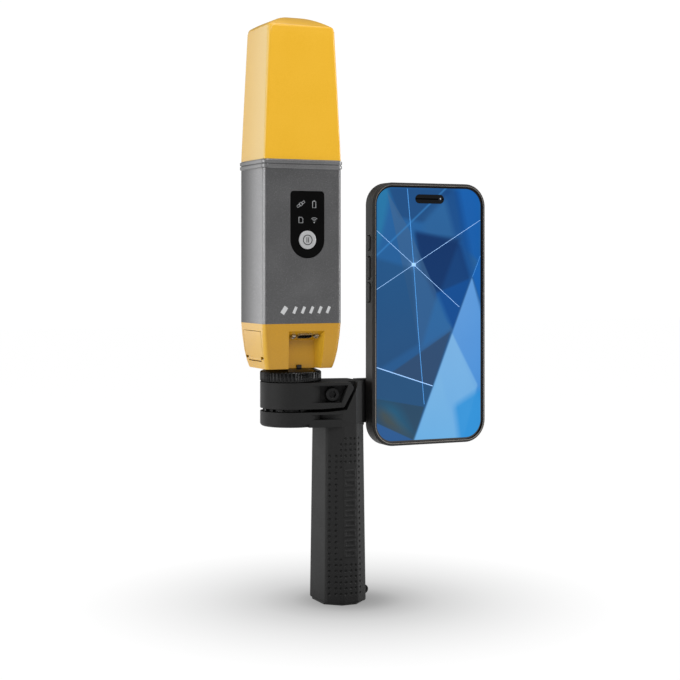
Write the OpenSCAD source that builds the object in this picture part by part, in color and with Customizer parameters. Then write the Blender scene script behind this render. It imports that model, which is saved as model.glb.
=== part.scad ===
// Handheld satellite-positioning data collector: a tall receiver on a quick-release
// lock ring and a pinch-clamp head, a pistol-style octagonal grip, and a large phone
// in a case held by a magnetic mount on a side arm.
// Millimetres. +Z up, the screen and the label face -Y, +X to the right.
// Origin: centre of the grip's foot, at the mouth of the pole socket.

/* [Receiver] */
// Distance of the receiver axis left of the grip axis
rec_off_x = 28.3; // [28:0.1:28.6]
// Distance of the receiver axis behind the grip axis
rec_off_y = 7.8; // [6:0.2:9]
// Width of the receiver body, left to right
rec_w = 51.6; // [50:0.2:54]
// Depth of the receiver body, front to back
rec_d = 40; // [39:0.2:42]
// Vertical edge radius of the receiver body
rec_r = 3; // [3:0.5:6]
// Wall of the receiver housings
rec_wall = 2; // [1.6:0.2:2.2]
// Height of the main housing
main_h = 93.5; // [92:0.5:110]
// Height of the radome
radome_h = 87.6; // [86:0.2:110]

/* [Label and button] */
// Width of the black label panel
label_w = 22.4; // [20:0.2:24]
// Sideways offset of the panel from the receiver axis
label_off = 2.6; // [0:0.2:3]
// Diameter of the power button
button_d = 11.2; // [9:0.2:11.4]
// Travel of the power button
button_travel = 0.6; // [0.4:0.1:0.7]

/* [Lock ring and stud] */
// Outside diameter of the lock ring over its ribs
ring_d = 37.8; // [36:0.2:38.4]
// Number of ribs on the lock ring
ring_ribs = 48; // [24:4:60]
// Stud diameter, 5/8 inch survey thread
stud_d = 15.8; // [15.7:0.05:15.85]

/* [Clamp head] */
// Outside diameter of the clamp barrel
clamp_d = 37.6; // [36:0.2:38]
// Diameter of the swivel spigot
spigot_d = 24.8; // [23:0.2:25]
// Width of the horizontal slot
slot_h = 1.95; // [1.6:0.05:2.2]
// Diameter of the clamp screw's head
cap_screw_d = 8.3; // [7:0.1:8.6]

/* [Grip] */
// Height of the grip under the head
grip_h = 108.5; // [100:0.5:115]
// Width of the grip's foot
foot_w = 31; // [29:0.5:33]
// Depth of the grip's foot
foot_d = 35.4; // [34:0.2:37]
// Radius of the pole socket's wall, 1/4 inch thread at its tapping size
socket_r = 2.55; // [2.5:0.05:2.6]
// Depth of the pole socket
socket_l = 14; // [10:1:18]

/* [Phone] */
// Width of the phone's case
case_w = 80; // [78:0.5:82]
// Height of the phone's case
case_h = 164; // [160:0.5:168]
// Thickness of the phone's case
case_t = 12; // [11.6:0.2:12.4]
// Corner radius of the phone's case
case_r = 14; // [12:0.5:15]
// Left edge of the case from the grip axis
phone_x = 18.7; // [18:0.1:22]
// Bottom edge of the case above the grip's foot
phone_z = 94.5; // [90:0.5:100]

/* [Hidden] */
$fn = 64;
e = 0.01;

rx = -rec_off_x;  ry = rec_off_y;
z_head0 = grip_h;                 // underside of the head
z_slot0 = z_head0 + 9.2;          // floor of the slot
z_slot1 = z_slot0 + slot_h;       // roof of the slot
z_head1 = z_head0 + 27.1;         // top of the head
z_ring0 = z_head1 + 0.3;          // lock ring
z_ring1 = z_ring0 + 8.1;
z_base0 = z_ring1 + 0.2;          // receiver base
z_base1 = z_base0 + 27.5;
z_rim0 = z_base1 + main_h;        // rim band
z_rim1 = z_rim0 + 5.7;
z_top = z_rim1 + radome_h;
clamp_r = clamp_d / 2;
spigot_r = spigot_d / 2;
stud_r = stud_d / 2;
z_button = z_base1 + 50.6;        // power button height
z_label1 = z_base1 + 80.2;        // top of the label panel
ph_cx = phone_x + case_w / 2;     // phone centre
ph_cz = phone_z + case_h / 2;
// octagonal grip: half width, half depth, half front flat, half side flat at foot and top
foot = [foot_w / 2, foot_d / 2, 4.8, 8.9];
neck = [14, 16.4, 4.3, 8];
// slanted front face of the head: from the barrel's tangent point to the grip's front corner
sl_a = 11.76;
sl_t = [rx - clamp_r * sin(sl_a), ry - clamp_r * cos(sl_a)];

black_nylon = [0.07, 0.07, 0.075];
yellow = [0.91, 0.70, 0.13];
graphite = [0.30, 0.30, 0.31];
steel = [0.72, 0.73, 0.75];
brass = [0.78, 0.62, 0.32];

// ---------- helpers ----------
module rrect(w, d, r) {
  square([w - 2 * r, d], center = true);
  square([w, d - 2 * r], center = true);
  for (x = [-1, 1], y = [-1, 1]) translate([x * (w / 2 - r), y * (d / 2 - r)]) circle(r);
}
// extrude a front-view (X, Z) outline from y0 to y0 + t
module front(y0, t) translate([0, y0 + t, 0]) rotate([90, 0, 0]) linear_extrude(t) children();
module at_rec() translate([rx, ry, 0]) children();
module slab(w, d, r, z0, h) translate([0, 0, z0]) linear_extrude(h) rrect(w, d, r);
module slant2() translate(sl_t) rotate(-sl_a) children();
module slant() translate([sl_t[0], sl_t[1], 0]) rotate([0, 0, -sl_a]) children();
module ycyl(r, x, z, y0, y1) translate([x, y1, z]) rotate([90, 0, 0]) cylinder(r = r, h = y1 - y0);
module xcyl(r, y, z, x0, x1) translate([x0, y, z]) rotate([0, 90, 0]) cylinder(r = r, h = x1 - x0);

// ---------- grip and head ----------
function oct(s, i = 0) = [[-s[0] + i, -s[3]], [-s[2], -s[1] + i], [s[2], -s[1] + i], [s[0] - i, -s[3]],
  [s[0] - i, s[3]], [s[2], s[1] - i], [-s[2], s[1] - i], [-s[0] + i, s[3]]];
module grip_solid() hull() {
  for (p = oct(foot, 2)) translate([p[0], p[1], 1.05]) cylinder(r = 2, h = e, $fn = 24);
  for (p = oct(neck, 2)) translate([p[0], p[1], z_head0 + 2]) cylinder(r = 2, h = e, $fn = 24);
}
module head_plan() {
  translate([rx, ry]) circle(clamp_r);
  polygon([sl_t, [-neck[2], -neck[1]], [neck[2] + 0.6, -neck[1]], [neck[0], -neck[3]], [neck[0], neck[1]],
    [rx + clamp_r * cos(72.2), ry + clamp_r * sin(72.2)]]);
}
module barrel_fillet() at_rec() rotate_extrude() difference() {   // rounds the barrel's lower edge
  translate([clamp_r - 2, z_head0 - 1]) square([6, 3]);
  translate([clamp_r - 2, z_head0 + 2]) circle(2);
  translate([clamp_r - 4, z_head0 + 2]) square([4, 3]);
}
module jaw_cut_outline() polygon([[12, z_slot0], [18.8, z_slot0], [31.4, z_slot0 + 1.1],
  [38.0, z_slot0 + 14.4], [39.4, z_head1 + 1], [12, z_head1 + 1]]);
module jaw_end_outline() polygon([[16, z_slot1 - 1], [16, z_slot1], [29.7, z_slot1 + 0.9],   // what lies outside the jaw's right end
  [36.2, z_slot1 + 12.4], [33.8, z_head1], [33.6, z_head1 + 1], [60, z_head1 + 1], [60, z_slot1 - 1]]);
module handle_body() color(black_nylon) difference() {
  union() {
    difference() {
      translate([0, 0, z_head0]) linear_extrude(z_head1 - z_head0) head_plan();
      intersection() { barrel_fillet(); translate([rx - 30, ry - 30, z_head0 - 2]) cube([30 + 4, 60, 5]); }
    }
    grip_solid();
    // stub that carries the phone arm, behind the phone
    translate([neck[0] - 4, 2.2, z_head0 + 1.5]) cube([24, 5.8, z_head1 - z_head0 - 1.5]);
    translate([neck[0] - 2, 2.2, z_head0 - 6]) rotate([90, 0, 0]) translate([0, 0, -5.8]) linear_extrude(5.8)
      polygon([[0, 0], [0, 9], [14, 9], [14, 7.5]]);
  }
  // spigot bore, index ring clearance and barrel space above the slot
  at_rec() translate([0, 0, z_head0 + 3]) cylinder(r = spigot_r + 0.05, h = 40);
  translate([0, 0, z_slot0]) linear_extrude(30) union() {
    translate([rx, ry]) circle(clamp_r + 0.3);
    slant2() translate([-40, -30]) square([58.3, 41.4]);
  }
  // space for the jaw, the slot and the diagonal gap
  slant() front(-4, 15.4) jaw_cut_outline();
  // tapering pocket in the lower band
  slant() translate([0, 0, z_head0 + 4.6]) linear_extrude(3.15)
    polygon([[9.5, -2], [9.5, 0], [15, 3], [15, 5.5], [29, -0.1], [29, -2]]);
  // clamp insert hole
  slant() ycyl(3.6, 23.1, z_head0 + 19.7, 10, 21);
  // core rod bore and light hollow in the grip
  translate([0, 0, -1]) cylinder(r = 6.1, h = 116.2);
  translate([0, 0, -1]) linear_extrude(97) rrect(20, 17, 3);
  // rebate and screw holes for the end cap
  translate([0, 0, -1]) linear_extrude(4.6) rrect(25, 29.4, 6);
  for (s = [-1, 1]) translate([0, s * 12, 0]) cylinder(r = 1.15, h = 14);
  // cross pin, arm screws and strap lug seat
  xcyl(2.05, 0, z_head0 + 2, -1, neck[0] + 1);
  for (z = [z_head0 + 8, z_head0 + 21]) ycyl(2.05, 25, z, 1, 9);
  translate([10.4, -0.1, 1.6]) cube([8, 4.2, 6.2]);
}
module core_rod() color(steel) difference() {
  cylinder(r = 6, h = 115);
  translate([0, 0, -1]) cylinder(r = socket_r, h = socket_l + 1);
  xcyl(2.05, 0, z_head0 + 2, -7, 7);
}
module core_pin() color(steel) xcyl(2, 0, z_head0 + 2, -0.9, neck[0] - 0.4);
module grip_end_cap() color([0.05, 0.05, 0.05]) difference() {
  union() {
    intersection() {
      translate([0, 0, 0]) linear_extrude(1) polygon(oct(foot, 0.25));
      translate([0, 0, -1]) linear_extrude(4) rrect(foot_w - 0.4, foot_d - 0.4, 5);
    }
    translate([0, 0, 1]) linear_extrude(2.5) rrect(24.7, 29.1, 5.9);
    translate([0, 0, 3.5]) linear_extrude(3) rrect(19.5, 16.5, 2.8);
  }
  translate([0, 0, -1]) cylinder(r = 6.1, h = 10);
  for (s = [-1, 1]) translate([0, s * 12, -1]) { cylinder(r = 1.3, h = 8); cylinder(r = 2.5, h = 2.9); }
  translate([10.4, -0.1, 1.6]) cube([8, 4.2, 6.2]);
}
module end_cap_screws() color(steel) for (s = [-1, 1]) translate([0, s * 12, 0]) difference() {
  union() { translate([0, 0, 0.4]) cylinder(r = 2.3, h = 1.5); translate([0, 0, 1.9]) cylinder(r = 1.1, h = 10); }
  translate([0, 0, 0.3]) cylinder(r = 1.1, h = 1, $fn = 6);
}
module strap_lug() color(steel) difference() {
  union() { translate([10.6, 0.1, 1.8]) cube([7.7, 3.8, 5.8]); ycyl(2.9, 18.3, 4.7, 0.1, 3.9); }
  ycyl(1.5, 18.3, 4.7, -1, 5);
}
module clamp_jaw() color(black_nylon) difference() {
  union() {
    translate([0, 0, z_slot1]) linear_extrude(z_head1 - z_slot1) union() {
      translate([rx, ry]) circle(clamp_r);
      polygon([sl_t, [-neck[2], -neck[1]], [4.4, -neck[1]], [4.4, -7.14], [rx + 1.4, ry - 7.3]]);
    }
  }
  slant() front(-8, 19.1) jaw_end_outline();
  at_rec() translate([0, 0, z_slot0]) cylinder(r = spigot_r + 0.05, h = 40);
  // pocket with a slanted left wall and a diagonal right end
  slant() intersection() {
    translate([0, 0, z_slot1 + 3.7]) linear_extrude(10.5)
      polygon([[9.5, -2], [9.5, 0], [15, 3], [15, 7.2], [40, 7.2], [40, -2]]);
    front(-3, 12) polygon([[8, z_slot1 + 3.7], [28.1, z_slot1 + 3.7], [32.2, z_slot1 + 14.2], [8, z_slot1 + 14.2]]);
  }
  slant() ycyl(2.7, 23.1, z_head0 + 19.7, 6, 13);
  // trim the slab clear of the head behind the barrel
  translate([rx + 10, ry - 2, z_slot0]) cube([40, 30, 40]);
}
module clamp_screw() color([0.12, 0.12, 0.13]) slant() difference() {
  union() {
    ycyl(cap_screw_d / 2, 23.1, z_head0 + 19.7, 3.2, 7.2);
    ycyl(2.5, 23.1, z_head0 + 19.7, 7.2, 20.5);
  }
  translate([23.1, 5.7, z_head0 + 19.7]) rotate([90, 0, 0]) cylinder(r = 2.3, h = 3, $fn = 6);
}
module clamp_insert() color(brass) slant() difference() {
  ycyl(3.55, 23.1, z_head0 + 19.7, 11.6, 20.9);
  ycyl(2.55, 23.1, z_head0 + 19.7, 11, 22);
}

// ---------- phone arm and magnetic mount ----------
module phone_arm() color(black_nylon) difference() {
  union() {
    translate([17, 8.1, z_head0 + 2]) cube([30, 5.9, 25]);
    hull() for (p = [[47, z_head0 + 8, 6], [47, z_head0 + 21, 6], [62, z_head0 + 10, 8], [ph_cx - 6, ph_cz - 16, 12], [ph_cx + 6, ph_cz - 16, 12]])
      translate([p[0], 14, p[1]]) rotate([90, 0, 0]) cylinder(r = p[2], h = 5.9, $fn = 32);
    ycyl(29, ph_cx, ph_cz, 4.1, 14);
  }
  for (z = [z_head0 + 8, z_head0 + 21]) { ycyl(2.1, 25, z, 7, 15); ycyl(3.9, 25, z, 11.5, 15); }
  ycyl(23, ph_cx, ph_cz, 8, 15);
  for (a = [45 : 90 : 315]) ycyl(1.3, ph_cx + 16 * cos(a), ph_cz + 16 * sin(a), 4, 9);
}
module arm_screws() color([0.15, 0.15, 0.16]) {
  for (z = [z_head0 + 8, z_head0 + 21]) difference() {
    union() { ycyl(3.7, 25, z, 11.5, 13.8); ycyl(2, 25, z, 2.6, 11.5); }
    translate([25, 15, z]) rotate([90, 0, 0]) cylinder(r = 1.8, h = 3, $fn = 6);
  }
  for (a = [45 : 90 : 315]) translate([ph_cx + 16 * cos(a), 0, ph_cz + 16 * sin(a)]) difference() {   // plate screws
    union() { ycyl(2.4, 0, 0, 8.02, 9.6); ycyl(1.2, 0, 0, 1.2, 8.02); }
    translate([0, 10, 0]) rotate([90, 0, 0]) cylinder(r = 1.1, h = 1.3, $fn = 6);
  }
}
module mount_plate() color([0.35, 0.35, 0.37]) difference() {
  ycyl(28, ph_cx, ph_cz, 0.8, 4.05);
  difference() { ycyl(27, ph_cx, ph_cz, 0.7, 2.5); ycyl(21.5, ph_cx, ph_cz, 0, 3); }
  for (a = [45 : 90 : 315]) ycyl(1.3, ph_cx + 16 * cos(a), ph_cz + 16 * sin(a), 0, 5);
}
module mount_magnets() color(steel) translate([ph_cx, 2.4, ph_cz]) rotate([90, 0, 0])
  for (a = [0 : 22.5 : 337.5]) rotate([0, 0, a]) rotate_extrude(angle = 20) translate([21.7, 0]) square([5.1, 1.6]);
module mount_pad() color([0.04, 0.04, 0.04]) difference() { ycyl(28.6, ph_cx, ph_cz, 0.2, 0.75); ycyl(14, ph_cx, ph_cz, 0, 1); }

// ---------- swivel stem and lock ring ----------
module swivel_spigot() color(steel) at_rec() difference() {
  translate([0, 0, z_head0 + 5]) cylinder(r = spigot_r, h = z_head1 + 0.15 - z_head0 - 5);
  translate([0, 0, z_head0]) cylinder(r = stud_r + 0.06, h = 40);
  translate([0, 0, z_head0 + 4]) cylinder(r = 10.8, h = 3.5);
}
module index_ring() color(steel) at_rec() translate([0, 0, z_slot0 + 0.4]) difference() {
  union() {
    cylinder(r = 15.2, h = slot_h - 0.8);
    for (i = [0 : 15]) rotate([0, 0, i * 22.5 - 111.05]) translate([14, -1.1, 0]) cube([3.1, 2.2, slot_h - 0.8]);
  }
  translate([0, 0, -1]) cylinder(r = spigot_r, h = 4);
}
module lock_ring() color([0.03, 0.03, 0.035]) at_rec() difference() {
  rotate_extrude() polygon([[stud_r + 0.05, z_ring0], [ring_d / 2 - 0.5, z_ring0], [ring_d / 2, z_ring0 + 0.5], [ring_d / 2, z_ring0 + 5.7],
    [ring_d / 2 - 0.9, z_ring0 + 6.4], [14.2, z_ring1], [stud_r + 0.05, z_ring1]]);
  for (i = [0 : ring_ribs - 1]) rotate([0, 0, i * 360 / ring_ribs]) translate([ring_d / 2 + 0.25, 0, z_ring0 - 1]) cylinder(r = 0.75, h = 6.6, $fn = 16);
}
module lock_stud() color(steel) at_rec() difference() {
  translate([0, 0, z_head0 + 5.2]) cylinder(r = stud_r, h = z_base0 + 11.4 - z_head0 - 5.2);
  translate([0, 0, z_head0 + 5.9]) rotate_extrude() translate([stud_r - 0.8, 0]) square([2, 1.2]);
}
module stud_clip() color(steel) at_rec() translate([0, 0, z_head0 + 6]) difference() {
  cylinder(r = 10.3, h = 1);
  translate([0, 0, -1]) cylinder(r = stud_r - 0.78, h = 3);
  translate([0, -3, -1]) cube([14, 6, 3]);
}

// ---------- receiver base ----------
base_t = [[0, 7.6], [1.3, 6.6], [4.4, 5.0], [10.5, 2.8], [19.8, 0.9], [27.5, 0]];   // height, loss of width
function base_w(z) = rec_w - lookup(z, base_t);
function base_d(z) = rec_d - lookup(z, base_t);
module base_hull(zs, i) hull() for (z = zs) translate([0, 0, z_base0 + z])
  linear_extrude(e) rrect(base_w(z) - 2 * i, base_d(z) - 2 * i, max(1.5, rec_r + 1 - z / 27.5 - i), $fn = 32);
module base_outer() base_hull([0, 1.3, 4.4, 10.5, 19.8, 27.5 - e], 0);
rc_x = label_off;                   // recess centre from the axis
module recess_plan(i) polygon([[rc_x - 12.1 - i, -30], [rc_x - 12.1 - i, -20], [rc_x - 9.2 - i, -10.8 + i], [rc_x + 8.7 + i, -10.8 + i],
  [rc_x + 11.6 + i, -20], [rc_x + 11.6 + i, -30]]);
module recess(i) intersection() {
  translate([0, 0, z_base0 - 2]) linear_extrude(30) recess_plan(i);
  translate([-30, 0, 0]) rotate([90, 0, 90]) linear_extrude(60)
    polygon([[-31, z_base0 - 2], [-31, z_base0 + 30.0 + i], [-20, z_base0 + 23.1 + i], [-10.8 + i, z_base0 + 17.2 + i], [-10.8 + i, z_base0 - 2]]);
}
module port_at() translate([rc_x, -15.4, z_base0 + 20.15]) rotate([147.3, 0, 0]) children();
pin_z = z_base0 + 5.9;  pin_u = -(rec_w / 2 - 3.3);   // door hinge line
module base_housing() color(yellow) at_rec() difference() {
  union() {
    difference() { base_outer(); base_hull([3.2, 10.5, 19.8, 27.6], rec_wall + 0.4); }
    translate([0, 0, z_base0]) cylinder(r = 12, h = 13);
    intersection() { base_outer(); recess(2); }
    for (x = [-1, 1], y = [-1, 1]) translate([x * 16.5, y * 12, z_base0 + 1]) cylinder(r = 3, h = 26);
  }
  recess(0);
  translate([0, 0, z_base0 - 1]) cylinder(r = 9.65, h = 15);
  // seal groove in the top edge
  translate([0, 0, z_base1 - 1.2]) linear_extrude(2) difference() { rrect(rec_w - 1.6, rec_d - 1.6, 3); rrect(rec_w - 3.4, rec_d - 3.4, 2.4); }
  for (x = [-1, 1], y = [-1, 1]) translate([x * 16.5, y * 12, z_base0 - 1]) { cylinder(r = 1.3, h = 30); cylinder(r = 2.2, h = 3.2); }
  // data port and jack screws through the sloping roof of the recess
  port_at() translate([0, 0, -8]) { linear_extrude(10) rrect(10.6, 5, 2.3); for (s = [-1, 1]) translate([s * 7.6, 0, 0]) cylinder(r = 1.25, h = 10); }
  // service door opening and hinge trough
  translate([-40, -14.3, pin_z]) cube([19.6, 28.6, 17.4 - 5.9 + 5.7]);
  translate([pin_u, 10.3, pin_z]) rotate([90, 0, 0]) cylinder(r = 1.5, h = 20.6);
  translate([-40, -10.3, pin_z - 1.5]) cube([40 + pin_u, 20.6, 3]);
  translate([pin_u, 13.2, pin_z]) rotate([90, 0, 0]) cylinder(r = 0.55, h = 26.4);
}
module mount_insert() color(brass) at_rec() translate([0, 0, z_base0]) difference() {
  cylinder(r = 9.6, h = 12.8);
  translate([0, 0, -1]) cylinder(r = stud_r + 0.05, h = 20);
}
module base_seal() color([0.1, 0.1, 0.1]) at_rec() translate([0, 0, z_base1 - 1.1]) linear_extrude(1.1) difference() {
  rrect(rec_w - 1.8, rec_d - 1.8, 2.9); rrect(rec_w - 3.2, rec_d - 3.2, 2.5);
}
module base_screws() color(steel) at_rec() for (x = [-1, 1], y = [-1, 1]) translate([x * 16.5, y * 12, 0]) difference() {
  union() { translate([0, 0, z_base0 + 0.7]) cylinder(r = 2.0, h = 1.5); translate([0, 0, z_base0 + 2.2]) cylinder(r = 1.2, h = 27.8); }
  translate([0, 0, z_base0]) cylinder(r = 1, h = 1.6, $fn = 6);
}
module index_key() color([0.04, 0.04, 0.04]) at_rec() translate([-0.9, -12.4, z_base0 + 0.05]) cube([3.0, 1.6, 2.1]);
module port_shell() color(steel) at_rec() port_at() translate([0, 0, -6]) linear_extrude(6.9) difference() { rrect(10.4, 4.8, 2.2); rrect(9.4, 3.8, 1.8); }
module port_insert() color([0.05, 0.05, 0.05]) at_rec() port_at() union() {
  translate([0, 0, -6]) linear_extrude(1.5) rrect(9.3, 3.7, 1.75);
  translate([0, 0, -4.5]) linear_extrude(4.4) rrect(7.2, 1, 0.4);
}
module jack_screws() color(steel) at_rec() port_at() for (s = [-1, 1]) translate([s * 7.6, 0, 0]) difference() {
  union() { translate([0, 0, 0.05]) cylinder(r = 2.0, h = 1.5, $fn = 6); translate([0, 0, -6]) cylinder(r = 1.15, h = 6.1); }
  translate([0, 0, 0.55]) cylinder(r = 0.9, h = 2);
}
module card_reader() color(steel) at_rec() translate([-19.6, -7, z_base0 + 8]) difference() {
  cube([5.6, 14, 10]);
  translate([-1, 1, 4]) cube([5, 12, 1.4]);
}
module service_door() color(yellow) at_rec() difference() {
  union() {
    intersection() {
      difference() { base_outer(); base_hull([0, 10.5, 19.8, 27.6], 2); }
      translate([-40, -14, pin_z + 0.3]) cube([19, 28, 16.6]);
    }
    translate([pin_u, 10, pin_z]) rotate([90, 0, 0]) cylinder(r = 1.2, h = 20);
    translate([pin_u - 1.2, -10, pin_z]) cube([2.0, 20, 1.6]);
  }
  translate([pin_u, 16, pin_z]) rotate([90, 0, 0]) cylinder(r = 0.55, h = 32);
  // clear of the end knuckles
  for (s = [-1, 1]) translate([pin_u - 3, s * 12.15 - 2, pin_z - 2]) cube([8, 4, 3.6]);
}
module door_gasket() color([0.1, 0.1, 0.1]) at_rec() intersection() {
  difference() { base_hull([0, 10.5, 19.8, 27.6], 2.02); base_hull([0, 10.5, 19.8, 27.6], 3.0); }
  translate([-40, 0, 0]) rotate([90, 0, 90]) linear_extrude(19) difference() {
    translate([0, z_base0 + 15]) square([25, 12.4], center = true);
    translate([0, z_base0 + 15]) square([22, 9.4], center = true);
  }
}
module door_pin() color(steel) at_rec() translate([pin_u, 13, pin_z]) rotate([90, 0, 0]) cylinder(r = 0.5, h = 26);

// ---------- receiver main housing and its contents ----------
module label_shape(i = 0) union() {
  translate([rx + label_off, z_button]) circle(label_w / 2 - i);
  translate([rx + label_off - label_w / 2 + i, z_button]) square([label_w - 2 * i, z_label1 - z_button - 2.2]);
  translate([rx + label_off - label_w / 2 + 2.2, z_label1 - 3 - i]) square([label_w - 4.4, 3]);
  for (s = [-1, 1]) translate([rx + label_off + s * (label_w / 2 - 2.2), z_label1 - 2.2]) circle(2.2 - i);
}
icon_at = [for (x = [-4.4, 4.4], z = [z_label1 - 17.6, z_label1 - 8]) [rx + label_off + x, z]];
yf = ry - rec_d / 2;                // front face of the receiver
module main_housing() color(graphite) difference() {
  at_rec() slab(rec_w, rec_d, rec_r, z_base1, main_h);
  at_rec() difference() {
    slab(rec_w - 2 * rec_wall, rec_d - 2 * rec_wall, rec_r - rec_wall + 0.5, z_base1 - 1, main_h + 2);
    for (x = [-1, 1], y = [-1, 1]) translate([x * 16.5 - 3, y > 0 ? 9 : -19, z_base1]) cube([6, 10, 2.8]);   // screw lugs
  }
  at_rec() for (x = [-1, 1], y = [-1, 1]) translate([x * 16.5, y * 12, z_base1 - 1]) cylinder(r = 1.25, h = 5);
  front(yf - 1, 1.6) label_shape();
  ycyl(button_d / 2 + 0.2, rx + label_off, z_button, yf - 1, yf + 5);
  for (p = icon_at) ycyl(1.25, p[0], p[1], yf - 1, yf + 5);
}
module label_panel() color([0.02, 0.02, 0.02]) difference() {
  front(yf - 0.1, 0.65) label_shape(0.1);
  ycyl(button_d / 2 + 0.2, rx + label_off, z_button, yf - 1, yf + 5);
}
module light_pipes() color([0.85, 0.9, 0.95]) for (p = icon_at) ycyl(1.15, p[0], p[1], yf + 0.6, ry - 4.3);
module power_button() color([0.85, 0.86, 0.87]) {
  ycyl(button_d / 2, rx + label_off, z_button, yf - 0.5, yf + 2.4);
  ycyl(button_d / 2 + 1.4, rx + label_off, z_button, yf + 2.4, yf + 3.4);
  ycyl(1.6, rx + label_off, z_button, yf + 3.4, ry - 9.0);
}
module dome_switch() color(steel) { ycyl(2.4, rx + label_off, z_button, ry - 8.2, ry - 6.4); translate([rx + label_off - 3, ry - 6.4, z_button - 3]) cube([6, 2.15, 6]); }
module main_board() color([0.05, 0.35, 0.18]) {
  translate([rx - 21, ry - 4.2, z_base1 + 5]) cube([42, 1.6, 82]);
  translate([rx - 18, ry - 6.6, z_base1 + 10]) cube([16, 2.45, 20]);
  translate([rx + 2, ry - 5.4, z_base1 + 12]) cube([14, 1.25, 14]);
  translate([rx - 18, ry - 6.0, z_base1 + 36]) cube([12, 1.85, 24]);
  translate([rx + 12, ry - 5.6, z_base1 + 36]) cube([7, 1.45, 10]);
}
module battery_tray() color([0.15, 0.15, 0.16]) difference() {
  translate([rx - 22.4, ry - 2.4, z_base1 + 3]) cube([44.8, 15.4, 86]);
  translate([rx - 19.6, ry - 0.6, z_base1 + 6]) cube([39.2, 20, 74]);
  translate([rx - 8, ry - 5, z_base1 + 82]) cube([16, 20, 5]);
}
module battery_pack() color([0.1, 0.22, 0.45]) at_rec() translate([0, 0.1 + 6, z_base1 + 7]) linear_extrude(70) rrect(38.4, 12, 4);

// ---------- rim band, radome and antenna ----------
module rim_band() color(graphite) at_rec() difference() {
  union() {
    slab(rec_w, rec_d, rec_r, z_rim0, 5.7);
    slab(rec_w + 1.6, rec_d + 1.6, rec_r + 0.8, z_rim0 + 0.5, 2.0);
    slab(rec_w + 1.6, rec_d + 1.6, rec_r + 0.8, z_rim0 + 3.1, 2.0);
  }
  slab(rec_w - 8, rec_d - 8, 2, z_rim0 - 1, 10);
  translate([0, 0, z_rim1 - 1.1]) linear_extrude(2) difference() { rrect(rec_w - 3.0, rec_d - 3.0, 2.6); rrect(rec_w - 5.4, rec_d - 5.4, 1.8); }
}
module radome_seal() color([0.1, 0.1, 0.1]) at_rec() translate([0, 0, z_rim1 - 1.05]) linear_extrude(1.05) difference() {
  rrect(rec_w - 3.2, rec_d - 3.2, 2.5); rrect(rec_w - 5.2, rec_d - 5.2, 1.9);
}
// height share and loss of half width of the radome's outline
dome_t = [[0, 0.3], [0.07, 0.4], [0.78, 3.0], [0.915, 3.7], [0.945, 4.5], [0.97, 6.9], [0.985, 9.4], [0.995, 13], [1, 17]];
module dome(i, k) hull() for (s = dome_t) translate([0, 0, z_rim1 + s[0] * (radome_h - k) - (s[0] == 1 ? e : 0)])
  linear_extrude(e) rrect(rec_w - 2 * s[1] - 2 * i, max(2.2, rec_d - 2 * s[1] - 2 * i), min(max(1, rec_r + s[1] * 0.25 - i), max(1.05, rec_d / 2 - s[1] - i - 0.05)), $fn = 32);
module radome() color(yellow) at_rec() difference() { dome(0, 0); translate([0, 0, -e]) dome(2, 2.2); }
module ground_plane() color(brass) at_rec() slab(rec_w - 6.4, rec_d - 6.4, 2, z_rim1 + 0.02, 1);
module antenna_board() color([0.05, 0.35, 0.18]) at_rec() { slab(38, 28, 2, z_rim1 + 1.05, 1.6); slab(16, 12, 0.5, z_rim1 + 2.6, 2); }
module antenna_core() color([0.9, 0.9, 0.86]) at_rec() translate([0, 0, z_rim1 + 2.7]) difference() {
  cylinder(r = 11.4, h = 68);
  translate([0, 0, -1]) cylinder(r = 10.2, h = 67.5);
}
module antenna_conductors() color(brass) at_rec() for (i = [0 : 3])   // four strips on the outside of the former
  rotate([0, 0, i * 90]) translate([0, 0, z_rim1 + 5]) rotate_extrude(angle = 24) translate([11.45, 0]) square([0.35, 62]);

// ---------- phone ----------
module ph(w, h, r) translate([ph_cx, ph_cz]) rrect(w, h, r);
module phone_case() color([0.17, 0.16, 0.16]) difference() {
  union() {
    front(-case_t + 1.2, case_t - 2.4) ph(case_w, case_h, case_r);
    front(-case_t, case_t) ph(case_w - 2, case_h - 2, case_r - 1);
    front(-case_t + 0.5, case_t - 1) ph(case_w - 0.8, case_h - 0.8, case_r - 0.4);
  }
  front(-case_t - 1, case_t - 1) ph(case_w - 3, case_h - 3, case_r - 1.5);
  // camera window in the back, port window below
  front(-3, 5) translate([ph_cx + 18.5, ph_cz + 58]) rrect(37, 37, 9);
  translate([ph_cx - 8, -9, phone_z - 1]) cube([16, 5.2, 4]);
  // button windows
  for (b = [[-1, 126.4, 9.5], [-1, 110.8, 14.4], [-1, 95.5, 12.6], [1, 115, 22.6]])
    translate([ph_cx + b[0] * (case_w / 2 - 1) - 2, -7.9, phone_z + b[1] - b[2] / 2]) cube([4, 3.8, b[2]]);
}
module phone_frame() color([0.45, 0.44, 0.42]) difference() {
  front(-9.9, 6.8) ph(case_w - 3.2, case_h - 3.2, case_r - 1.6);
  front(-11, 2.5) ph(case_w - 6.4, case_h - 6.4, case_r - 3);
  front(-7.9, 6) ph(case_w - 6.4, case_h - 6.4, case_r - 3);
  translate([ph_cx - 5.2, -8.1, phone_z - 1]) cube([10.4, 3.6, 10]);
}
module back_glass() color([0.2, 0.2, 0.21]) difference() {
  front(-3.1, 0.9) ph(case_w - 3.4, case_h - 3.4, case_r - 1.7);
  front(-4, 5) translate([ph_cx + 18.5, ph_cz + 58]) rrect(35.4, 35.4, 8.2);
}
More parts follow.
